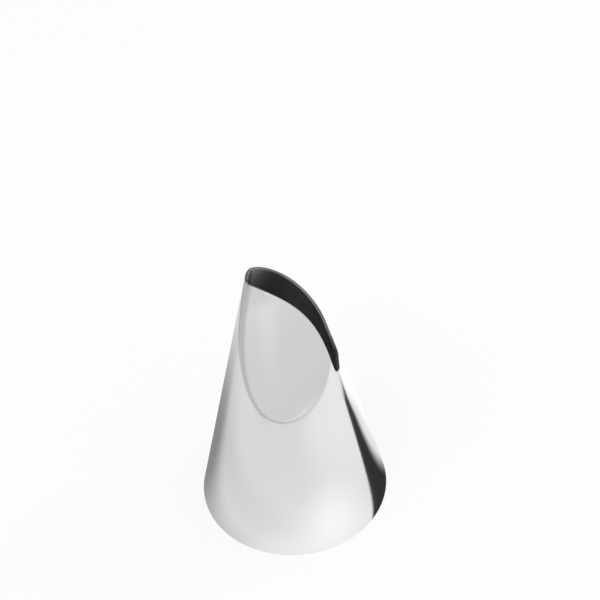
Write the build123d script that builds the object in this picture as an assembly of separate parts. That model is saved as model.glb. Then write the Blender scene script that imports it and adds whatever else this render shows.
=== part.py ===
from build123d import *
from math import atan, cos
import os

# A large petal piping nozzle in thin sheet metal: a plain cone rolled from one blank, its front
# pressed into a shallow dish, its mouth cut on a slanting curve, its seam closed with a weld.
# Millimetres, +Z up. The base stands on z = 0 with its centre at the origin, the dished face looks
# towards -Y, and the mouth falls from its high end at -X to its narrow end at +X.

# Cone: its width at the base, and level with the mouth's high end
base_diameter = 30.0
mouth_diameter = 10.1
wall = 0.4

# Mouth: the curve that the cut follows, seen from the front
mouth_high_height = 49.0
mouth_low_height = 29.8
mouth_end_inset = 1.2
mouth_end_radius = 2.3
curve_side_shares = (0.0, 0.35, 0.71, 0.88, 1.0)
curve_drop_shares = (0.0, 0.242, 0.5, 0.693, 1.0)

# Dish: the hollow pressed into the front, part of a long cylinder lying askew. Its face passes
# straight behind the cone's axis at this height and this far back.
dish_radius = 24.8
dish_face_height = 44.0
dish_face_setback = 0.4
dish_turn = 25.5
dish_rise = 29.2
dish_tilt = 15.8
inside_bend_radius = 0.2

# Seam: the blank's two edges meet along this side of the cone, counted from +X towards +Y
seam_side = 145.0
seam_gap = 0.4
seam_bead = 0.12
seam_setback = 0.3

# How far cutting shapes run past what they cut
overrun = 5.0

base_radius = base_diameter / 2
side_slope = (base_diameter - mouth_diameter) / 2 / mouth_high_height
blank_height = mouth_high_height + overrun
wall_across = wall / cos(atan(side_slope))
bead_across = seam_bead / cos(atan(side_slope))


def cone_radius(height):
    """Outer radius of the plain cone at a height"""
    return base_radius - height * side_slope


def cone_body(inset):
    """Solid cone whose side lies this far inside the outer side, open past both ends where inset"""
    foot = -overrun if inset else 0
    low_radius = cone_radius(foot) - inset
    top_radius = cone_radius(blank_height) - inset
    body = Cone(low_radius, top_radius, blank_height - foot, align=(Align.CENTER, Align.CENTER, Align.MIN))
    return Pos(0, 0, foot) * body


def dish_tool(offset):
    """Long cylinder that presses the front in, larger by the offset"""
    face_point = Pos(0, dish_face_setback, dish_face_height)
    lie = Rot(Z=dish_turn) * Rot(Y=-dish_rise) * Rot(X=-dish_tilt)
    rod = Cylinder(dish_radius + offset, 2 * (blank_height + base_diameter), rotation=(0, 90, 0))
    return face_point * lie * Pos(0, -dish_radius, 0) * rod


def pressed_body(inset, offset, bend):
    """Cone with the dish pressed in and the crease round the dish bent to this radius"""
    pressed = cone_body(inset) - dish_tool(offset)
    dish_face = pressed.faces().filter_by(GeomType.CYLINDER)[0]
    crease = dish_face.edges() - pressed.faces().sort_by(Axis.Z)[-1].edges()
    return fillet(crease, bend)


def mouth_tool():
    """Everything above the mouth's slanting curve, with the narrow end rounded"""
    high_side = -cone_radius(mouth_high_height)
    low_side = cone_radius(mouth_low_height) - mouth_end_inset
    width = low_side - high_side
    drop = mouth_high_height - mouth_low_height
    curve_points = [
        (high_side + width * side_share, mouth_high_height - drop * drop_share)
        for side_share, drop_share in zip(curve_side_shares, curve_drop_shares)
    ]
    curve = Spline(*curve_points)
    lead = Line(curve @ 0 - (curve % 0) * overrun, curve @ 0)
    far_side = base_radius + overrun
    top = blank_height + overrun
    ledge = Polyline(
        curve @ 1,
        (far_side, mouth_low_height),
        (far_side, top),
        ((lead @ 0).X, top),
        lead @ 0,
    )
    outline = make_face(Plane.XZ * (lead + curve + ledge))
    tool = extrude(outline, base_radius + overrun, both=True)
    corner = tool.edges().filter_by(Axis.Y).sort_by_distance(
        (low_side, 0, mouth_low_height)
    )[0]
    return fillet(corner, mouth_end_radius)


def seam_bar(foot):
    """Upright bar through the wall on the seam's side, clear of the dish, starting at this height"""
    bar = Box(base_diameter, seam_gap, 2 * blank_height, align=(Align.MIN, Align.CENTER, Align.MIN))
    return Pos(0, 0, foot) * Rot(Z=seam_side) * Pos(cone_radius(mouth_high_height) / 2, 0, 0) * bar


outer = pressed_body(0, 0, inside_bend_radius + wall)
inner = pressed_body(wall_across, wall, inside_bend_radius)
bead_limit = cone_body(wall_across + bead_across)
mouth = mouth_tool()

closed_shell = outer - inner - mouth
nozzle_shell = closed_shell - seam_bar(-overrun)
seam_weld = (outer - bead_limit - mouth) & seam_bar(seam_setback)

parts = {"nozzle_shell": nozzle_shell, "seam_weld": seam_weld}

os.makedirs("parts", exist_ok=True)
for name, piece in parts.items():
    export_step(piece, f"parts/{name}.step")
    box = piece.bounding_box()
    print(name, "volume", round(piece.volume, 3), "height", round(box.size.Z, 2))
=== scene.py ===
import bisect
import math

import bmesh
import bpy
from bpy.props import FloatProperty, FloatVectorProperty, IntProperty, PointerProperty
from mathutils import Matrix, Vector
from mathutils.bvhtree import BVHTree


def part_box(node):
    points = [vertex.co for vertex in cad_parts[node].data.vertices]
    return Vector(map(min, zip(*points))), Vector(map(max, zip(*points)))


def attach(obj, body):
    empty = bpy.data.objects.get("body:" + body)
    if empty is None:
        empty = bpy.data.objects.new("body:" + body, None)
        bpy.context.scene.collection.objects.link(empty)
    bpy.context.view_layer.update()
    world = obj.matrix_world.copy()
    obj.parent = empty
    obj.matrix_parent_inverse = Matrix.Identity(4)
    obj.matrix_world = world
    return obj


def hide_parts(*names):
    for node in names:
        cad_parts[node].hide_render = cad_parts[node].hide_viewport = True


bl_info = {
    "name": "Petal Piping Nozzle",
    "version": (1, 0, 0),
    "blender": (4, 5, 0),
    "location": "View3D > Sidebar > Nozzle",
    "description": "A large petal piping nozzle in polished sheet steel, on a pale studio floor",
    "category": "Add Mesh",
}

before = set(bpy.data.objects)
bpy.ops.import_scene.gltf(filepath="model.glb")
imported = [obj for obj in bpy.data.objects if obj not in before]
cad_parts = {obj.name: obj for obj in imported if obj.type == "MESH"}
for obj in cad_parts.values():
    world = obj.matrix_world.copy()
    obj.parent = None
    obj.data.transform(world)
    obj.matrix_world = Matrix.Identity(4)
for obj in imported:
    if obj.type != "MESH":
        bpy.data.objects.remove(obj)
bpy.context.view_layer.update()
shell_low, shell_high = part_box("nozzle_shell")
weld_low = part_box("seam_weld")[0]

# Lengths are in metres, written as millimetres times this
MM = 0.001

# The photograph's frame: its size, and the point in it where the camera's aim height shows
photo_size = 600
aim_column = 286.6
aim_row = 379.9


class ShellSizes(bpy.types.PropertyGroup):
    """Sizes of the nozzle's sheet metal, the same as the frame's"""

    base_diameter: FloatProperty(
        name="Base diameter", description="Width of the cone at its base",
        default=shell_high.x - shell_low.x, unit="LENGTH", precision=5)
    mouth_diameter: FloatProperty(
        name="Mouth diameter", description="Width of the cone level with the mouth's high end",
        default=10.1 * MM, unit="LENGTH", precision=5)
    height: FloatProperty(
        name="Height", description="From the base to the mouth's high end",
        default=shell_high.z, unit="LENGTH", precision=5)
    wall: FloatProperty(
        name="Wall", description="Thickness of the sheet",
        default=0.4 * MM, unit="LENGTH", precision=5)
    dish_radius: FloatProperty(
        name="Dish radius", description="Radius of the hollow pressed into the front",
        default=24.8 * MM, unit="LENGTH", precision=5)
    dish_face_height: FloatProperty(
        name="Dish face height", description="Height at which the dish's setback is measured",
        default=44.0 * MM, unit="LENGTH", precision=5)
    dish_face_setback: FloatProperty(
        name="Dish face setback", description="How far behind the cone's axis the dish passes there",
        default=0.4 * MM, unit="LENGTH", precision=5)
    dish_turn: FloatProperty(
        name="Dish turn", description="Turn of the dish about the upright axis",
        default=math.radians(25.5), subtype="ANGLE")
    dish_rise: FloatProperty(
        name="Dish rise", description="Climb of the dish's long axis towards the right",
        default=math.radians(29.2), subtype="ANGLE")
    dish_tilt: FloatProperty(
        name="Dish tilt", description="Lean of the dish towards the back",
        default=math.radians(15.8), subtype="ANGLE")
    crease_radius: FloatProperty(
        name="Crease radius", description="Outside bend of the sheet round the dish",
        default=0.6 * MM, unit="LENGTH", precision=5)
    edge_rounding: FloatProperty(
        name="Edge rounding", description="How far the sheared edges are worn round",
        default=0.07 * MM, unit="LENGTH", precision=5)
    pinch: FloatProperty(
        name="Pinch", description="How far the wall is pressed in beside the mouth's narrow end",
        default=0.5 * MM, unit="LENGTH", precision=5)
    seam_side: FloatProperty(
        name="Seam side", description="Where the blank's edges meet, counted from +X towards +Y",
        default=math.radians(145.0), subtype="ANGLE")
    seam_gap: FloatProperty(
        name="Seam gap", description="Width of the weld between the blank's edges",
        default=0.4 * MM, unit="LENGTH", precision=5)
    seam_bead: FloatProperty(
        name="Seam bead", description="How far the weld stands proud inside",
        default=0.12 * MM, unit="LENGTH", precision=5)
    seam_crown: FloatProperty(
        name="Seam crown", description="How far the linished weld stands proud outside",
        default=0.02 * MM, unit="LENGTH", precision=5)
    ripple_pitch: FloatProperty(
        name="Ripple pitch", description="Distance from one ripple of the weld to the next",
        default=0.35 * MM, unit="LENGTH", precision=5)
    ripple_depth: FloatProperty(
        name="Ripple depth", description="Height of the weld's ripples",
        default=0.012 * MM, unit="LENGTH", precision=6)
    columns: IntProperty(
        name="Columns", description="Faces of the blank from one seam edge round to the other",
        default=340, min=60)
    rows: IntProperty(
        name="Rows", description="Faces of the blank from the base up to the mouth",
        default=96, min=20)


class SteelFinish(bpy.types.PropertyGroup):
    """Colours and surface of the steel"""

    outside_colour: FloatVectorProperty(
        name="Outside colour", description="Polished steel, as the outside shows it",
        default=(0.86, 0.87, 0.865), subtype="COLOR", size=3, min=0, max=1)
    inside_colour: FloatVectorProperty(
        name="Inside colour", description="Drawn steel inside, left unpolished",
        default=(0.62, 0.62, 0.61), subtype="COLOR", size=3, min=0, max=1)
    # Painted shade: the sheared edge is darkened to stand in for the dark that it mirrors
    cut_shade_colour: FloatVectorProperty(
        name="Cut colour", description="Sheared edge of the sheet",
        default=(0.17, 0.17, 0.17), subtype="COLOR", size=3, min=0, max=1)
    # Painted highlight: a bright band down the middle of the dish that stands in for a reflection
    dish_highlight_colour: FloatVectorProperty(
        name="Streak colour", description="Brighter rub down the middle of the dish",
        default=(0.945, 0.955, 0.95), subtype="COLOR", size=3, min=0, max=1)
    tint_colour: FloatVectorProperty(
        name="Heat tint", description="Straw tint that the weld's heat leaves beside the seam",
        default=(0.80, 0.74, 0.62), subtype="COLOR", size=3, min=0, max=1)
    polish: FloatProperty(
        name="Polish", description="Roughness of the polished outside",
        default=0.10, min=0, max=1, subtype="FACTOR")
    dish_polish: FloatProperty(
        name="Dish polish", description="Roughness of the pressed dish",
        default=0.20, min=0, max=1, subtype="FACTOR")
    drawn: FloatProperty(
        name="Drawn roughness", description="Roughness inside, as the sheet was drawn",
        default=0.34, min=0, max=1, subtype="FACTOR")
    line_spacing: FloatProperty(
        name="Line spacing", description="Distance between the fine polishing lines round the cone",
        default=0.16 * MM, unit="LENGTH", precision=5)
    line_depth: FloatProperty(
        name="Line depth", description="Depth of the polishing lines",
        default=0.0005 * MM, unit="LENGTH", precision=6)


class StudioSettings(bpy.types.PropertyGroup):
    """Camera, floor and light"""

    elevation: FloatProperty(
        name="Elevation", description="How far down the camera looks",
        default=math.radians(48.59), subtype="ANGLE")
    roll: FloatProperty(
        name="Roll", description="Turn of the picture about the line of sight",
        default=math.radians(4.65), subtype="ANGLE")
    distance: FloatProperty(
        name="Distance", description="From the camera to the aim point",
        default=405.0 * MM, unit="LENGTH", precision=4)
    frame_width: FloatProperty(
        name="Frame width", description="Width of the picture at the aim point",
        default=94.27 * MM, unit="LENGTH", precision=5)
    aim_height: FloatProperty(
        name="Aim height", description="Height of the aim point on the nozzle's axis",
        default=25.5 * MM, unit="LENGTH", precision=5)
    floor_size: FloatProperty(
        name="Floor size", description="Side of the square floor",
        default=4.0, unit="LENGTH")
    floor_colour: FloatVectorProperty(
        name="Floor colour", description="Matt white of the floor",
        default=(0.88, 0.88, 0.88), subtype="COLOR", size=3, min=0, max=1)
    floor_glow: FloatProperty(
        name="Floor glow", description="How far the floor shows as plain background",
        default=0.80, min=0, max=1, subtype="FACTOR")


class NozzleForm:
    """The outside face of the sheet, as a distance from any point, worked out from the sizes"""

    def __init__(self, sizes):
        self.sizes = sizes
        self.base_radius = sizes.base_diameter / 2
        self.side_slope = (sizes.base_diameter - sizes.mouth_diameter) / 2 / sizes.height
        self.side_angle = math.atan(self.side_slope)
        lie = (
            Matrix.Rotation(sizes.dish_turn, 3, "Z")
            @ Matrix.Rotation(-sizes.dish_rise, 3, "Y")
            @ Matrix.Rotation(-sizes.dish_tilt, 3, "X")
        )
        self.rod_axis = lie @ Vector((1, 0, 0))
        face_point = Vector((0, sizes.dish_face_setback, sizes.dish_face_height))
        self.rod_centre = face_point + lie @ Vector((0, -sizes.dish_radius, 0))
        self.cut_sides, self.cut_heights = self.mouth_cut()

    def cone_radius(self, height):
        """Outer radius of the plain cone at this height"""
        return self.base_radius - height * self.side_slope

    def mouth_cut(self):
        """Places and heights of the mouth's cut along X, met by rays down the frame's back wall"""
        steps = 180
        start_share = 0.2
        seam_clearance = math.radians(4)
        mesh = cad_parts["nozzle_shell"].data
        frame_shell = BVHTree.FromPolygons(
            [vertex.co for vertex in mesh.vertices],
            [face.vertices for face in mesh.polygons])
        wall_middle = self.sizes.wall / 2 / math.cos(self.side_angle)
        apex = Vector((0, 0, (self.base_radius - wall_middle) / self.side_slope))
        met = []
        for step in range(steps + 1):
            angle = math.pi * (1 - step / steps)
            if abs(angle - self.sizes.seam_side) < seam_clearance:
                continue
            foot = Vector((math.cos(angle), math.sin(angle), 0)) * (self.base_radius - wall_middle)
            start = apex.lerp(foot, start_share)
            place = frame_shell.ray_cast(start, (foot - apex).normalized())[0]
            met.append((place.x, place.z))
        return zip(*met)

    def rim_height(self, side):
        """Height of the mouth's cut at this place along X"""
        after = bisect.bisect(self.cut_sides, side)
        after = min(max(after, 1), len(self.cut_sides) - 1)
        side_0, side_1 = self.cut_sides[after - 1], self.cut_sides[after]
        height_0, height_1 = self.cut_heights[after - 1], self.cut_heights[after]
        share = (side - side_0) / (side_1 - side_0)
        return height_0 + (height_1 - height_0) * min(share, 1)

    def dish_y(self, x, z):
        """Y of the dish's face straight behind this place, or None where the dish misses it"""
        axis = self.rod_axis
        from_x, from_z = x - self.rod_centre.x, z - self.rod_centre.z
        along = from_x * axis.x + from_z * axis.z
        square = 1 - axis.y ** 2
        linear = -2 * axis.y * along
        rest = from_x ** 2 + from_z ** 2 - along ** 2 - self.sizes.dish_radius ** 2
        inside_root = linear ** 2 - 4 * square * rest
        if inside_root < 0:
            return None
        return self.rod_centre.y + (math.sqrt(inside_root) - linear) / (2 * square)

    def distances(self, point):
        """Distance and direction out of the cone's side, and out of the metal into the dish"""
        across = math.hypot(point.x, point.y)
        lean = math.cos(self.side_angle)
        cone_out = Vector((point.x / across * lean, point.y / across * lean, math.sin(self.side_angle)))
        cone_distance = (across - self.cone_radius(point.z)) * lean
        arm = point - self.rod_centre
        arm -= self.rod_axis * arm.dot(self.rod_axis)
        return cone_distance, cone_out, self.sizes.dish_radius - arm.length, -arm.normalized()

    def distance(self, point):
        """Distance and direction out of the metal, with the crease bent round"""
        cone_distance, cone_out, dish_distance, dish_out = self.distances(point)
        bend = self.sizes.crease_radius
        cosine = cone_out.dot(dish_out)
        past_cone, past_dish = cone_distance + bend, dish_distance + bend
        cone_share = (past_cone - past_dish * cosine) / (1 - cosine ** 2)
        dish_share = (past_dish - past_cone * cosine) / (1 - cosine ** 2)
        if cone_share > 0 and dish_share > 0:
            out = cone_out * cone_share + dish_out * dish_share
            return out.length - bend, out.normalized()
        if cone_distance > dish_distance:
            return cone_distance, cone_out
        return dish_distance, dish_out

    def settle(self, point):
        """The outside face's point beside this one, at the same height, come to in a few steps"""
        steps = 5
        for _ in range(steps):
            away, out = self.distance(point)
            level = Vector((out.x, out.y, 0))
            point = point - level * (away / level.length_squared)
        return point

    def outside_point(self, angle, height):
        """Point of the outside face that the blank's point comes to"""
        radius = self.cone_radius(height)
        x, y = radius * math.cos(angle), radius * math.sin(angle)
        dish_y = self.dish_y(x, height)
        if y < 0 and dish_y is not None:
            y = max(y, dish_y)
        return self.settle(Vector((x, y, height)))


def column_point(form, turn, height):
    """Point of the outside face at this turn round from one edge of the blank to the other"""
    half_seam = math.asin(form.sizes.seam_gap / 2 / form.cone_radius(height))
    angle = form.sizes.seam_side + half_seam + turn * (1 - half_seam / math.pi)
    return form.outside_point(angle, height)


def column_top(form, turn):
    """Point where a column of the blank meets the mouth's cut, found by halving its range"""
    headroom_share = 1.05
    halvings = 24
    low, high = 0.0, form.sizes.height * headroom_share
    for _ in range(halvings):
        middle = (low + high) / 2
        if form.rim_height(column_point(form, turn, middle).x) > middle:
            low = middle
        else:
            high = middle
    return column_point(form, turn, low)


def column_turns(form):
    """Turns of the blank's columns, spaced by the way round the mouth and the base together"""
    samples = 720
    base_share = 0.25
    turns = [2 * math.pi * sample / samples for sample in range(samples + 1)]
    tops = [column_top(form, turn) for turn in turns]
    base_step = base_share * form.base_radius * turns[1]
    ways = [0.0]
    for top, next_top in zip(tops, tops[1:]):
        ways.append(ways[-1] + (next_top - top).length + base_step)
    spaced = []
    for column in range(form.sizes.columns + 1):
        way = ways[-1] * column / form.sizes.columns
        after = min(max(bisect.bisect(ways, way), 1), samples)
        share = (way - ways[after - 1]) / (ways[after] - ways[after - 1])
        spaced.append(turns[after - 1] + (turns[after] - turns[after - 1]) * share)
    return spaced


def new_piece(name, blank):
    """An object at the origin that holds a finished bmesh"""
    mesh = bpy.data.meshes.new(name)
    for face in blank.faces:
        face.smooth = True
    blank.to_mesh(mesh)
    blank.free()
    piece = bpy.data.objects.new(name, mesh)
    bpy.context.scene.collection.objects.link(piece)
    return piece


def face_outwards(blank):
    """Turns the faces of a rolled blank so that they point away from the cone's axis"""
    blank.normal_update()
    first = next(iter(blank.faces))
    middle = first.calc_center_median()
    if first.normal.dot(Vector((middle.x, middle.y, 0))) < 0:
        bmesh.ops.reverse_faces(blank, faces=blank.faces[:])
    blank.normal_update()


def make_wall(blank, thickness):
    """Gives the blank its thickness, inwards, and cuts its foot level"""
    foot = min(vertex.co.z for vertex in blank.verts)
    bmesh.ops.solidify(blank, geom=blank.faces[:], thickness=thickness)
    for vertex in blank.verts:
        vertex.co.z = max(vertex.co.z, foot)


def round_edges(blank, width):
    """Wears the sheared edges round"""
    marked = 0.5
    least_corner = math.radians(40)
    rim = blank.verts.layers.float["rim"]
    sheared = [
        edge for edge in blank.edges
        if min(vertex[rim] for vertex in edge.verts) > marked
        and edge.calc_face_angle() > least_corner
    ]
    bmesh.ops.bevel(
        blank, geom=sheared, offset=width, affect="EDGES", segments=2, profile=0.5, material=-1,
        clamp_overlap=True)


def clamped(value):
    """The value, kept between 0 and 1"""
    return min(max(value, 0), 1)


def smooth_step(value, low, high):
    """0 up to low, 1 from high on, and a smooth climb between"""
    share = clamped((value - low) / (high - low))
    return share * share * (3 - 2 * share)


class NOZZLE_OT_make_shell(bpy.types.Operator):
    """Rolls a blank into the cone, presses the dish, cuts the mouth and gives it the sheet's wall"""

    bl_idname = "nozzle.make_shell"
    bl_label = "Make shell"

    def execute(self, context):
        sizes = context.scene.nozzle_shell
        form = NozzleForm(sizes)
        blank = bmesh.new()
        bmesh.ops.create_grid(blank, x_segments=sizes.columns, y_segments=sizes.rows, size=0.5)
        self.roll(blank, sizes, form)
        face_outwards(blank)
        self.refine_crease(blank, form)
        make_wall(blank, sizes.wall)
        round_edges(blank, sizes.edge_rounding)
        self.mark_places(blank, sizes, form)
        self.pinch_end(blank, sizes, form)
        shell = new_piece("petal_shell", blank)
        shell.data.materials.append(shell_steel(context.scene.nozzle_finish, sizes))
        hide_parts("nozzle_shell")
        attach(shell, "root")
        return {"FINISHED"}

    def roll(self, blank, sizes, form):
        """Rolls the flat grid round the cone, up to the mouth's cut"""
        margin = 0.1 * MM
        turns = column_turns(form)
        tops = [column_top(form, turn).z for turn in turns]
        rim = blank.verts.layers.float.new("rim")
        for vertex in blank.verts:
            column = round((vertex.co.x + 0.5) * sizes.columns)
            row = round((vertex.co.y + 0.5) * sizes.rows)
            height = tops[column] * row / sizes.rows
            if row == 1:
                height = margin
            elif row == sizes.rows - 1:
                height = tops[column] - margin
            vertex[rim] = 1.0 if vertex.is_boundary else 0.0
            vertex.co = column_point(form, turns[column], height)

    def refine_crease(self, blank, form):
        """Splits the faces along the crease twice and settles their new corners on the bend"""
        rim_margin = 1.5 * MM
        most_corners = 4
        for reach in (form.sizes.crease_radius / 2, form.sizes.crease_radius / 3):
            near = []
            for edge in blank.edges:
                middle = (edge.verts[0].co + edge.verts[1].co) / 2
                below_rim = min(form.rim_height(vertex.co.x) - vertex.co.z for vertex in edge.verts)
                cone_distance, _, dish_distance, _ = form.distances(middle)
                bent = max(abs(cone_distance), abs(dish_distance)) < reach
                if middle.y < 0 and bent and below_rim > rim_margin:
                    near.append(edge)
            bmesh.ops.subdivide_edges(blank, edges=near, cuts=1, use_grid_fill=True)
            wide = [face for face in blank.faces if len(face.verts) > most_corners]
            bmesh.ops.triangulate(blank, faces=wide)
            for vertex in blank.verts:
                if not vertex.is_boundary and vertex.co.y < 0:
                    vertex.co = form.settle(vertex.co)
        blank.normal_update()

    def mark_places(self, blank, sizes, form):
        """Marks how deep in the wall, how near an edge, how far in the dish and how near its crease"""
        edge_fade = 1.2 * MM
        dish_fade = 0.2 * MM
        least_bend_reach = 0.02 * MM
        crease_core, crease_end = 0.8, 2.0
        blunt_side, blunt_fade = 4 * MM, 6 * MM
        depth, edge, dish, crease = (
            blank.verts.layers.float.new(name) for name in ("depth", "edge", "dish", "crease"))
        for vertex in blank.verts:
            x, y, z = vertex.co
            vertex[depth] = clamped(-form.distance(vertex.co)[0] / sizes.wall)
            to_edge = min(max(form.rim_height(x) - z, 0), max(z, 0))
            vertex[edge] = math.exp(-to_edge / edge_fade)
            if y >= 0:
                continue
            cone_distance, cone_out, dish_distance, dish_out = form.distances(vertex.co)
            vertex[dish] = clamped((dish_distance - cone_distance) / dish_fade + 0.5)
            bend_reach = max(sizes.crease_radius * (1 - cone_out.dot(dish_out)), least_bend_reach)
            bent = max(abs(cone_distance), abs(dish_distance)) / bend_reach
            sharp = clamped((blunt_side - x) / blunt_fade)
            vertex[crease] = (1 - smooth_step(bent, crease_core, crease_end)) * sharp

    def pinch_end(self, blank, sizes, form):
        """Presses the wall in a little beside the mouth's narrow end"""
        # Turns from +X towards +Y in degrees, and heights, between which the press fades in or out
        front_turns, back_turns = (-24, -4), (14, 40)
        heights = (19 * MM, 30 * MM)
        # Distances out of the cone's side, negative in the dish, between which it fades in
        dish_fade = (-1.5 * MM, -0.5 * MM)
        for vertex in blank.verts:
            turn = math.degrees(math.atan2(vertex.co.y, vertex.co.x))
            press = smooth_step(turn, *front_turns) * (1 - smooth_step(turn, *back_turns))
            press *= smooth_step(form.distances(vertex.co)[0], *dish_fade)
            press *= smooth_step(vertex.co.z, *heights)
            across = Vector((vertex.co.x, vertex.co.y, 0)).normalized()
            vertex.co -= across * (sizes.pinch * press)


class NOZZLE_OT_make_weld(bpy.types.Operator):
    """Lays the weld that closes the blank's edges"""

    bl_idname = "nozzle.make_weld"
    bl_label = "Make weld"

    def execute(self, context):
        faces_across, faces_along = 8, 560
        ripple_bow = 0.12 * MM
        sizes = context.scene.nozzle_shell
        form = NozzleForm(sizes)
        bead = bmesh.new()
        bmesh.ops.create_grid(bead, x_segments=faces_across, y_segments=faces_along, size=0.5)
        top = column_top(form, 0.0).z
        for vertex in bead.verts:
            side_share, up_share = 2 * vertex.co.x, vertex.co.y + 0.5
            height = weld_low.z + (top - weld_low.z) * up_share
            arch = 1 - side_share ** 2
            phase = 2 * math.pi * (height + ripple_bow * side_share ** 2) / sizes.ripple_pitch
            proud = sizes.seam_crown * arch + sizes.ripple_depth * arch * math.sin(phase)
            radius = form.cone_radius(height) + proud
            angle = sizes.seam_side + math.asin(sizes.seam_gap / 2 / radius) * side_share
            vertex.co = Vector((radius * math.cos(angle), radius * math.sin(angle), height))
        face_outwards(bead)
        make_wall(bead, sizes.wall + sizes.seam_bead)
        weld = new_piece("seam_bead", bead)
        weld.data.materials.append(weld_steel(context.scene.nozzle_finish, sizes))
        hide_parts("seam_weld")
        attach(weld, "root")
        return {"FINISHED"}


class Signal:
    """A node's output that adds Math nodes where it is used in a sum"""

    def __init__(self, nodes, socket):
        self.nodes = nodes
        self.socket = socket

    def math(self, operation, first, second):
        return self.nodes.add("ShaderNodeMath", {0: first, 1: second}, {"operation": operation})

    def __add__(self, other):
        return self.math("ADD", self, other)

    __radd__ = __add__

    def __sub__(self, other):
        return self.math("SUBTRACT", self, other)

    def __rsub__(self, other):
        return self.math("SUBTRACT", other, self)

    def __mul__(self, other):
        return self.math("MULTIPLY", self, other)

    __rmul__ = __mul__

    def __pow__(self, other):
        return self.math("POWER", self, other)

    def __abs__(self):
        return self.math("ABSOLUTE", self, 0.0)


class Nodes:
    """The node tree of one material or world"""

    def __init__(self, owner):
        owner.use_nodes = True
        self.tree = owner.node_tree
        self.tree.nodes.clear()

    def add(self, kind, inputs=None, settings=None, output=0):
        """Adds a node: its settings first, then the values or links of its sockets"""
        node = self.tree.nodes.new(kind)
        for name, value in (settings or {}).items():
            setattr(node, name, value)
        for name, value in (inputs or {}).items():
            if isinstance(value, Signal):
                self.tree.links.new(value.socket, node.inputs[name])
            else:
                node.inputs[name].default_value = value
        return Signal(self, node.outputs[output] if len(node.outputs) else None)

    def place(self):
        """Place on the piece, in metres"""
        return self.add("ShaderNodeTexCoord", output="Object")

    def parts(self, vector):
        """X, Y and Z of a vector"""
        split = self.add("ShaderNodeSeparateXYZ", {0: vector}).socket.node
        return [Signal(self, socket) for socket in split.outputs]

    def join(self, x, y, z):
        """Vector of three values"""
        return self.add("ShaderNodeCombineXYZ", {0: x, 1: y, 2: z})

    def scaled(self, vector, x, y, z):
        """Vector with each of its parts scaled"""
        return self.add("ShaderNodeVectorMath", {0: vector, 1: (x, y, z)}, {"operation": "MULTIPLY"})

    def dot(self, vector, direction):
        """How far a vector reaches along a fixed direction"""
        return self.add(
            "ShaderNodeVectorMath", {0: vector, 1: direction}, {"operation": "DOT_PRODUCT"}, output=1)

    def noise(self, vector, scale, detail=2.0, roughness=0.5):
        """Cloudy pattern from 0 to 1"""
        return self.add(
            "ShaderNodeTexNoise",
            {"Vector": vector, "Scale": scale, "Detail": detail, "Roughness": roughness})

    def climb(self, value, low, high):
        """Smooth step from 0 at low to 1 at high"""
        return self.add(
            "ShaderNodeMapRange", {"Value": value, "From Min": low, "From Max": high},
            {"interpolation_type": "SMOOTHSTEP"})

    def fall(self, value, low, high):
        """Smooth step from 1 at low to 0 at high"""
        return 1 - self.climb(value, low, high)

    def mark(self, name):
        """A mark that the mesh carries"""
        return self.add("ShaderNodeAttribute", settings={"attribute_name": name}, output="Fac")

    def blend(self, share, first, second):
        """Colour between two, by the share of the second"""
        # The Mix node takes colours at sockets 6 and 7 and gives one at output 2
        return self.add(
            "ShaderNodeMix", {0: share, 6: first, 7: second}, {"data_type": "RGBA"}, output=2)

    def largest(self, first, second):
        """The larger of two values"""
        return self.add("ShaderNodeMath", {0: first, 1: second}, {"operation": "MAXIMUM"})


def solid(colour, shade=1.0):
    """The colour as a socket takes it, darkened to this shade of itself"""
    return (*(part * shade for part in colour), 1.0)


def polishing_lines(nodes, place, spacing):
    """Fine lines round the cone, from 0 to 1"""
    wander_scale = 60.0
    stretched = nodes.scaled(place, wander_scale, wander_scale, 1 / spacing)
    return nodes.noise(stretched, 1.0, detail=3.0, roughness=0.6)


def hairlines(nodes, place, stretch, width, amount):
    """Sparse hairline scratches, longest where the stretch is least, 1 in a scratch"""
    patch_scale, patch_fade = 190.0, 0.05
    course = nodes.noise(nodes.scaled(place, *stretch), 1.0, detail=1.0)
    patches = nodes.noise(place, patch_scale, detail=1.0)
    line = nodes.fall(abs(course - 0.5), 0.0, width)
    return line * nodes.climb(patches, 1 - amount, 1 - amount + patch_fade)


def smudges(nodes, place):
    """Faint patches that handling leaves, from 0 to 1"""
    patch_scale, patch_edges = 120.0, (0.42, 0.68)
    return nodes.climb(nodes.noise(place, patch_scale, detail=4.0, roughness=0.55), *patch_edges)


def seam_nearness(nodes, place, sizes, reach):
    """1 at the seam, fading to 0 at this distance from it, and 0 on the other side of the cone"""
    own_side = (2 * MM, 3 * MM)
    out = (math.cos(sizes.seam_side), math.sin(sizes.seam_side), 0.0)
    beside = (-out[1], out[0], 0.0)
    near = nodes.fall(abs(nodes.dot(place, beside)), 0.0, reach)
    return near * nodes.climb(nodes.dot(place, out), *own_side)


def finish_metal(nodes, colour, roughness, relief):
    """Metal with this colour, roughness and relief"""
    bump = nodes.add("ShaderNodeBump", {"Strength": 1.0, "Distance": 1.0, "Height": relief})
    shader = nodes.add(
        "ShaderNodeBsdfPrincipled",
        {"Base Color": colour, "Roughness": roughness, "Metallic": 1.0, "Normal": bump})
    nodes.add("ShaderNodeOutputMaterial", {"Surface": shader})


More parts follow.
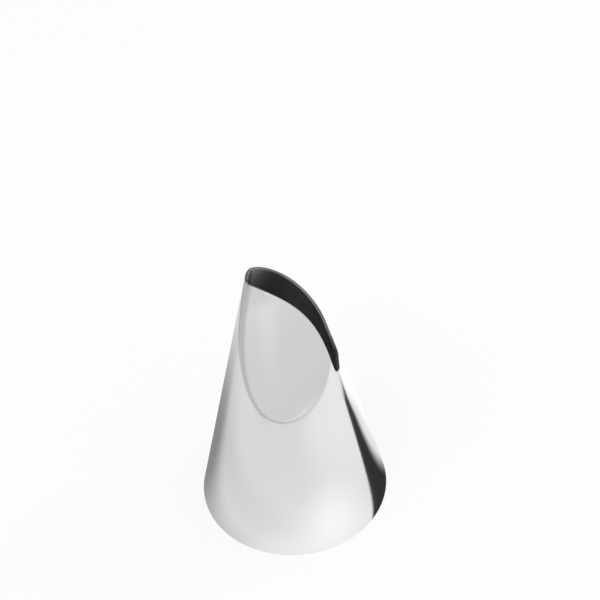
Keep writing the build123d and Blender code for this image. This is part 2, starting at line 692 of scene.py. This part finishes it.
def polished_colour(nodes, place, finish, broad, warm):
    """Colour of the outside: polishing bands and the weld's heat tint, with painted shade along the
    crease and at the dish's top, and a painted highlight down the dish
    """
    x, _, z = nodes.parts(place)
    dish, crease = nodes.mark("dish"), nodes.mark("crease")
    steel = finish.outside_colour

    # Broad polishing bands
    band_contrast, band_level, band_shade = 0.25, 0.12, 0.93
    bands = (broad - 0.5) * band_contrast + band_level
    colour = nodes.blend(bands, solid(steel), solid(steel, band_shade))

    # Painted shade along the crease
    crease_shade_amount, crease_shade = 0.90, 0.80
    colour = nodes.blend(crease * crease_shade_amount, colour, solid(steel, crease_shade))

    # Painted highlight down the dish: its middle along X, its half widths and its heights
    highlight_middle, highlight_widths = -2.2 * MM, (0.2 * MM, 2.4 * MM)
    highlight_heights, highlight_amount = (27 * MM, 40 * MM), 0.7
    highlight = dish * nodes.fall(abs(x - highlight_middle), *highlight_widths) * nodes.climb(z, *highlight_heights)
    colour = nodes.blend(highlight * highlight_amount, colour, solid(finish.dish_highlight_colour))

    # Painted shade at the top of the dish, under the mouth's high end
    top_shade_heights, top_shade_amount, top_shade = (42.5 * MM, 45.5 * MM), 0.75, 0.80
    top = dish * nodes.climb(z, *top_shade_heights)
    colour = nodes.blend(top * top_shade_amount, colour, solid(steel, top_shade))

    # Straw tint beside the seam
    tint_amount = 0.45
    return nodes.blend(warm * tint_amount, colour, solid(finish.tint_colour))


def drawn_colour(nodes, place, finish, broad):
    """Colour of the inside: drawn bands, painted light to the right and painted shade in the high
    corner
    """
    x, _, z = nodes.parts(place)
    band_shade = 0.75
    lit_sides, lit_amount = (0.0, 4 * MM), 0.8
    corner_shade_sides, corner_shade_heights, corner_shade_amount = (-5.2 * MM, -3.6 * MM), (40 * MM, 44 * MM), 0.7
    colour = nodes.blend(broad, solid(finish.inside_colour), solid(finish.inside_colour, band_shade))
    # Painted light: paler towards the mouth's narrow end, to the right
    pale = nodes.climb(x, *lit_sides)
    colour = nodes.blend(pale * lit_amount, colour, solid(finish.outside_colour))
    # Painted shade in the high corner
    corner = nodes.fall(x, *corner_shade_sides) * nodes.climb(z, *corner_shade_heights)
    return nodes.blend(corner * corner_shade_amount, colour, solid(finish.cut_shade_colour))


def polished_roughness(nodes, place, finish, lines, scratches, warm):
    """Roughness of the outside, where each mark is duller than the polish round it"""
    line_dulling, scratch_dulling, smudge_dulling = 0.05, 0.05, 0.035
    edge_dulling, crease_dulling, tint_dulling = 0.08, 0.50, 0.10
    polish = finish.polish + nodes.mark("dish") * (finish.dish_polish - finish.polish)
    polish = polish + (lines - 0.5) * line_dulling + scratches * scratch_dulling
    polish = polish + smudges(nodes, place) * smudge_dulling + nodes.mark("edge") * edge_dulling
    return polish + nodes.mark("crease") * crease_dulling + warm * tint_dulling


def shell_steel(finish, sizes):
    """Polished sheet steel outside, drawn steel inside and a sheared edge between them"""
    cut_depths, inside_depths = (0.02, 0.1), (0.85, 1.0)
    broad_spacings = 7
    tint_reach = 1.6 * MM
    upright_stretch, upright_width, upright_amount = (900.0, 900.0, 90.0), 0.006, 0.42
    crossing_stretch, crossing_width, crossing_amount = (120.0, 300.0, 700.0), 0.005, 0.40
    cut_dish_highlight, cut_dulling, least_roughness = 0.5, 0.30, 0.04
    inside_deepening, cut_deepening, broad_depths, scratch_depths = 6, 4, 2, 0.7

    material = bpy.data.materials.new("polished_sheet_steel")
    nodes = Nodes(material)
    place = nodes.place()
    depth = nodes.mark("depth")
    inside = nodes.climb(depth, *inside_depths)
    cut = nodes.climb(depth, *cut_depths) * (1 - inside)
    lines = polishing_lines(nodes, place, finish.line_spacing)
    broad = polishing_lines(nodes, place, finish.line_spacing * broad_spacings)
    scratches = hairlines(nodes, place, upright_stretch, upright_width, upright_amount)
    scratches += hairlines(nodes, place, crossing_stretch, crossing_width, crossing_amount)
    warm = seam_nearness(nodes, place, sizes, tint_reach)

    # Sheared edge: painted shade, lightened on the dish as a painted highlight
    cut_shade_colour = nodes.blend(
        nodes.mark("dish") * cut_dish_highlight, solid(finish.cut_shade_colour), solid(finish.outside_colour))
    colour = nodes.blend(cut, polished_colour(nodes, place, finish, broad, warm), cut_shade_colour)
    colour = nodes.blend(inside, colour, drawn_colour(nodes, place, finish, broad))

    roughness = polished_roughness(nodes, place, finish, lines, scratches, warm)
    roughness = roughness + cut * cut_dulling + inside * (finish.drawn - finish.polish)

    line_depth = finish.line_depth * (1 + inside * inside_deepening + cut * cut_deepening)
    relief = lines * line_depth + broad * (finish.line_depth * broad_depths)
    relief = relief - scratches * (finish.line_depth * scratch_depths)
    finish_metal(nodes, colour, nodes.largest(roughness, least_roughness), relief)
    return material


def weld_steel(finish, sizes):
    """Linished weld, scratched along the seam, tinted by its heat and dark inside the cone"""
    grain_across, grain_along, grain_depth = 14000.0, 260.0, 0.002 * MM
    patch_scale, patch_shade = 700.0, 0.80
    inside_depths, inside_shade = (0.03 * MM, 0.15 * MM), 0.6
    least_roughness, grain_dulling, patch_dulling = 0.22, 0.16, 0.08

    material = bpy.data.materials.new("linished_weld_steel")
    nodes = Nodes(material)
    place = nodes.place()
    x, y, z = nodes.parts(place)
    grain = nodes.noise(nodes.scaled(place, grain_across, grain_across, grain_along), 1.0)
    patches = nodes.noise(place, patch_scale, detail=3.0)
    colour = nodes.blend(patches, solid(finish.outside_colour, patch_shade), solid(finish.tint_colour))
    slope = (sizes.base_diameter - sizes.mouth_diameter) / 2 / sizes.height
    below_outside = sizes.base_diameter / 2 - z * slope - (x * x + y * y) ** 0.5
    inside = nodes.climb(below_outside, *inside_depths)
    colour = nodes.blend(inside, colour, solid(finish.inside_colour, inside_shade))
    roughness = least_roughness + grain * grain_dulling + patches * patch_dulling
    finish_metal(nodes, colour, roughness, grain * grain_depth)
    return material


def facing(nodes, level, degrees):
    """Cosine of the angle between a level direction and this side, from +X towards +Y"""
    angle = math.radians(degrees)
    return nodes.dot(level, (math.cos(angle), math.sin(angle), 0.0))


def studio_tone(nodes, x, y):
    """How bright the studio's far walls are in each direction"""
    wall_tone = 0.72
    # Each side's angle, how much brighter it is than the wall, and the cosine where that begins
    sides = ((0, 0.22, 0.2), (190, 0.15, 0.6), (125, -0.30, 0.55))
    # Dark upright strips: their angles, half the angle that one covers, and how its edge fades
    strip_sides, strip_half_angle, strip_darkness = (32, 160, 228), 8, 0.93
    fade_outside, fade_inside = 0.004, 0.002

    level = nodes.add("ShaderNodeVectorMath", {0: nodes.join(x, y, 0.0)}, {"operation": "NORMALIZE"})
    tone = wall_tone
    for degrees, brighter, begin in sides:
        tone = tone + brighter * nodes.climb(facing(nodes, level, degrees), begin, 1.0)
    edge = math.cos(math.radians(strip_half_angle))
    for degrees in strip_sides:
        strip = nodes.climb(facing(nodes, level, degrees), edge - fade_outside, edge + fade_inside)
        tone = tone * (1 - strip_darkness * strip)
    return tone


def within(nodes, x, y, centre, radius, soft):
    """1 inside a circle on the floor, with a soft edge"""
    off_x, off_y = x - centre[0], y - centre[1]
    away = (off_x * off_x + off_y * off_y) ** 0.5
    return nodes.fall(away, radius - soft, radius + soft)


def shade_bar(nodes, x, along, across):
    """1 on the painted shade to the right in front, a bar which the steel mirrors as a dark band"""
    front_edge, back_edge = (-13.8 * MM, -13.2 * MM), (-7.2 * MM, -1.8 * MM)
    near_end, far_end = (4 * MM, 6 * MM), (41.5 * MM, 43.5 * MM)
    bar = nodes.climb(across, *front_edge) * nodes.fall(across, *back_edge)
    return bar * nodes.climb(along, *near_end) * nodes.fall(x, *far_end)


def left_shade(nodes, x, y, away):
    """1 in the deep of the shade to the left, which the cone's left side mirrors"""
    slant_x_share, slant_y_share, slant_setback = 0.567, 0.825, 12.9 * MM
    spread_share, spread_start = 0.12, 18 * MM
    core, halo, halo_share = (-6.5 * MM, 8 * MM), (-24 * MM, -4 * MM), 0.3
    halo_start = (18 * MM, 36 * MM)
    far_end, back_end, right_end = (22 * MM, 70 * MM), (18 * MM, 56 * MM), (-13 * MM, -4 * MM)
    slant = x * slant_x_share + y * slant_y_share + slant_setback
    shade = nodes.climb(slant - (away - spread_start) * spread_share, *core)
    soft = nodes.climb(slant, *halo) * nodes.climb(away, *halo_start)
    shade = shade + (1 - shade) * halo_share * soft
    return shade * nodes.fall(away, *far_end) * nodes.fall(y, *back_end) * nodes.fall(x, *right_end)


def near_floor(nodes, x, y, away, across_bar):
    """The white floor close by, with painted light: brighter to the right, in front, at the foot and
    behind the bar
    """
    floor_level = 0.80
    right_gain, right_sides = 0.13, (0.0, 42 * MM)
    # Painted pools of light in front: how much brighter, the centre, the radius and the softness
    patches = (
        (0.26, (11 * MM, -19 * MM), 9 * MM, 10 * MM),
        (0.05, (-4 * MM, -26 * MM), 12 * MM, 12 * MM),
    )
    foot_gain, foot_reach = 0.09, (16 * MM, 24 * MM)
    foot_left, foot_right = (-12 * MM, -6 * MM), (-6 * MM, 14 * MM)
    behind_gain, behind_bar, behind_sides = 0.22, (-1 * MM, 5 * MM), (6 * MM, 12 * MM)

    tone = floor_level + right_gain * nodes.climb(x, *right_sides)
    for gain, centre, radius, soft in patches:
        tone = tone + gain * within(nodes, x, y, centre, radius, soft)
    foot = nodes.climb(x, *foot_left) * nodes.fall(x, *foot_right) * nodes.fall(away, *foot_reach)
    tone = tone + foot_gain * foot
    return tone + behind_gain * nodes.climb(across_bar, *behind_bar) * nodes.climb(x, *behind_sides)


def floor_tone(nodes, x, y):
    """How bright each place of the floor is, with painted light and shade, as the steel mirrors it"""
    shade_darkness, shade_bar_darkness = 0.66, 0.96
    bar_lie = math.radians(27)
    walls_begin = (58 * MM, 74 * MM)
    away = (x * x + y * y) ** 0.5
    along_bar = x * math.cos(bar_lie) + y * math.sin(bar_lie)
    across_bar = y * math.cos(bar_lie) - x * math.sin(bar_lie)
    near = near_floor(nodes, x, y, away, across_bar)
    near = near * (1 - shade_darkness * left_shade(nodes, x, y, away))
    near = near * (1 - shade_bar_darkness * shade_bar(nodes, x, along_bar, across_bar))
    far = studio_tone(nodes, x, y)
    return near + (far - near) * nodes.climb(away, *walls_begin)


def photo_camera(settings):
    """Camera at the photograph's angle, its aim moved so that the nozzle lies where it does there"""
    data = bpy.data.cameras.new("photo_camera")
    camera = bpy.data.objects.new("photo_camera", data)
    bpy.context.scene.collection.objects.link(camera)
    bpy.context.scene.camera = camera
    data.lens = settings.distance * data.sensor_width / settings.frame_width
    right = Vector((1, 0, 0))
    up = Vector((0, math.sin(settings.elevation), math.cos(settings.elevation)))
    back = Vector((0, -math.cos(settings.elevation), math.sin(settings.elevation)))
    picture_right = right * math.cos(settings.roll) - up * math.sin(settings.roll)
    picture_up = right * math.sin(settings.roll) + up * math.cos(settings.roll)
    target = Vector((0, 0, settings.aim_height))
    place = target + back * settings.distance
    pixel = settings.frame_width / photo_size
    aim = target + picture_right * (photo_size / 2 - aim_column) * pixel
    aim = aim + picture_up * (aim_row - photo_size / 2) * pixel
    axis_z = (place - aim).normalized()
    axis_x = (picture_right - axis_z * picture_right.dot(axis_z)).normalized()
    axis_y = axis_z.cross(axis_x)
    turn = Matrix((axis_x, axis_y, axis_z)).transposed().to_4x4()
    camera.matrix_world = Matrix.Translation(place) @ turn


def kinds_of_ray(nodes):
    """1 for the camera's own rays, and 1 for rays that come by way of steel"""
    rays = nodes.add("ShaderNodeLightPath").socket.node
    camera = Signal(nodes, rays.outputs["Is Camera Ray"])
    mirrored = Signal(nodes, rays.outputs["Is Glossy Ray"])
    through = Signal(nodes, rays.outputs["Is Transmission Ray"])
    return camera, nodes.largest(mirrored, through)


def studio_floor(settings):
    """Matt white floor, shown to the camera as plain background and to the steel by its tone"""
    contact_fade = 0.6 * MM
    floor_mesh = bmesh.new()
    bmesh.ops.create_grid(floor_mesh, x_segments=1, y_segments=1, size=settings.floor_size / 2)
    floor = new_piece("studio_floor", floor_mesh)
    material = bpy.data.materials.new("floor_white")
    nodes = Nodes(material)
    x, y, _ = nodes.parts(nodes.place())
    camera, mirrored = kinds_of_ray(nodes)
    tone = floor_tone(nodes, x, y)
    shown = tone + camera * (1 - tone)
    clear = nodes.climb((x * x + y * y) ** 0.5, shell_high.x - contact_fade, shell_high.x)
    matt = nodes.add("ShaderNodeBsdfDiffuse", {"Color": solid(settings.floor_colour)})
    glow = nodes.add("ShaderNodeEmission", {"Color": nodes.join(shown, shown, shown), "Strength": 1.0})
    shader = nodes.add(
        "ShaderNodeMixShader", {0: (camera * settings.floor_glow + mirrored) * clear, 1: matt, 2: glow})
    nodes.add("ShaderNodeOutputMaterial", {"Surface": shader})
    floor.data.materials.append(material)


def studio_world():
    """Plain white to the camera, and walls with a ceiling to the light and the steel"""
    ceiling_begin = (0.45, 0.9)
    ceiling_tone, mirrored_dimming = 0.95, 0.50
    world = bpy.data.worlds.new("studio_world")
    bpy.context.scene.world = world
    nodes = Nodes(world)
    x, y, z = nodes.parts(nodes.add("ShaderNodeTexCoord", output="Generated"))
    camera, mirrored = kinds_of_ray(nodes)
    walls = studio_tone(nodes, x, y)
    ceiling = ceiling_tone - mirrored_dimming * mirrored
    tone = walls + (ceiling - walls) * nodes.climb(z, *ceiling_begin)
    shown = tone + camera * (1 - tone)
    sky = nodes.add("ShaderNodeBackground", {"Color": nodes.join(shown, shown, shown), "Strength": 1.0})
    nodes.add("ShaderNodeOutputWorld", {"Surface": sky})


def studio_lamp(name, place, size, power):
    """Soft square lamp that faces the nozzle"""
    data = bpy.data.lights.new(name, "AREA")
    data.shape = "SQUARE"
    data.size = size
    data.energy = power
    lamp = bpy.data.objects.new(name, data)
    bpy.context.scene.collection.objects.link(lamp)
    turn = place.to_track_quat("Z", "Y").to_matrix().to_4x4()
    lamp.matrix_world = Matrix.Translation(place) @ turn


class NOZZLE_OT_set_studio(bpy.types.Operator):
    """Sets the camera, the pale floor and the soft light"""

    bl_idname = "nozzle.set_studio"
    bl_label = "Set studio"

    def execute(self, context):
        # Each lamp's place and side in metres, and its power in watts
        key_place, key_side, key_power = Vector((-0.28, -0.30, 0.52)), 0.30, 0.9
        fill_place, fill_side, fill_power = Vector((0.42, 0.18, 0.38)), 0.22, 0.5
        settings = context.scene.nozzle_studio
        context.scene.view_settings.view_transform = "Standard"
        photo_camera(settings)
        studio_floor(settings)
        studio_world()
        studio_lamp("key_lamp", key_place, key_side, key_power)
        studio_lamp("fill_lamp", fill_place, fill_side, fill_power)
        return {"FINISHED"}


class NOZZLE_PT_panel(bpy.types.Panel):
    """Lists the nozzle's sizes, finish and studio"""

    bl_label = "Petal nozzle"
    bl_idname = "NOZZLE_PT_panel"
    bl_space_type = "VIEW_3D"
    bl_region_type = "UI"
    bl_category = "Nozzle"

    def draw(self, context):
        for group, operators in (
            (context.scene.nozzle_shell, ("nozzle.make_shell", "nozzle.make_weld")),
            (context.scene.nozzle_finish, ()),
            (context.scene.nozzle_studio, ("nozzle.set_studio",)),
        ):
            box = self.layout.box()
            for name in group.__annotations__:
                box.prop(group, name)
            for operator in operators:
                box.operator(operator)


classes = (
    ShellSizes,
    SteelFinish,
    StudioSettings,
    NOZZLE_OT_make_shell,
    NOZZLE_OT_make_weld,
    NOZZLE_OT_set_studio,
    NOZZLE_PT_panel,
)
property_groups = {
    "nozzle_shell": ShellSizes,
    "nozzle_finish": SteelFinish,
    "nozzle_studio": StudioSettings,
}


def register():
    for item in classes:
        bpy.utils.register_class(item)
    for name, group in property_groups.items():
        setattr(bpy.types.Scene, name, PointerProperty(type=group))


def unregister():
    for name in property_groups:
        delattr(bpy.types.Scene, name)
    for item in reversed(classes):
        bpy.utils.unregister_class(item)


def main():
    register()
    bpy.ops.nozzle.set_studio()
    bpy.ops.nozzle.make_shell()
    bpy.ops.nozzle.make_weld()


if __name__ == "__main__":
    main()
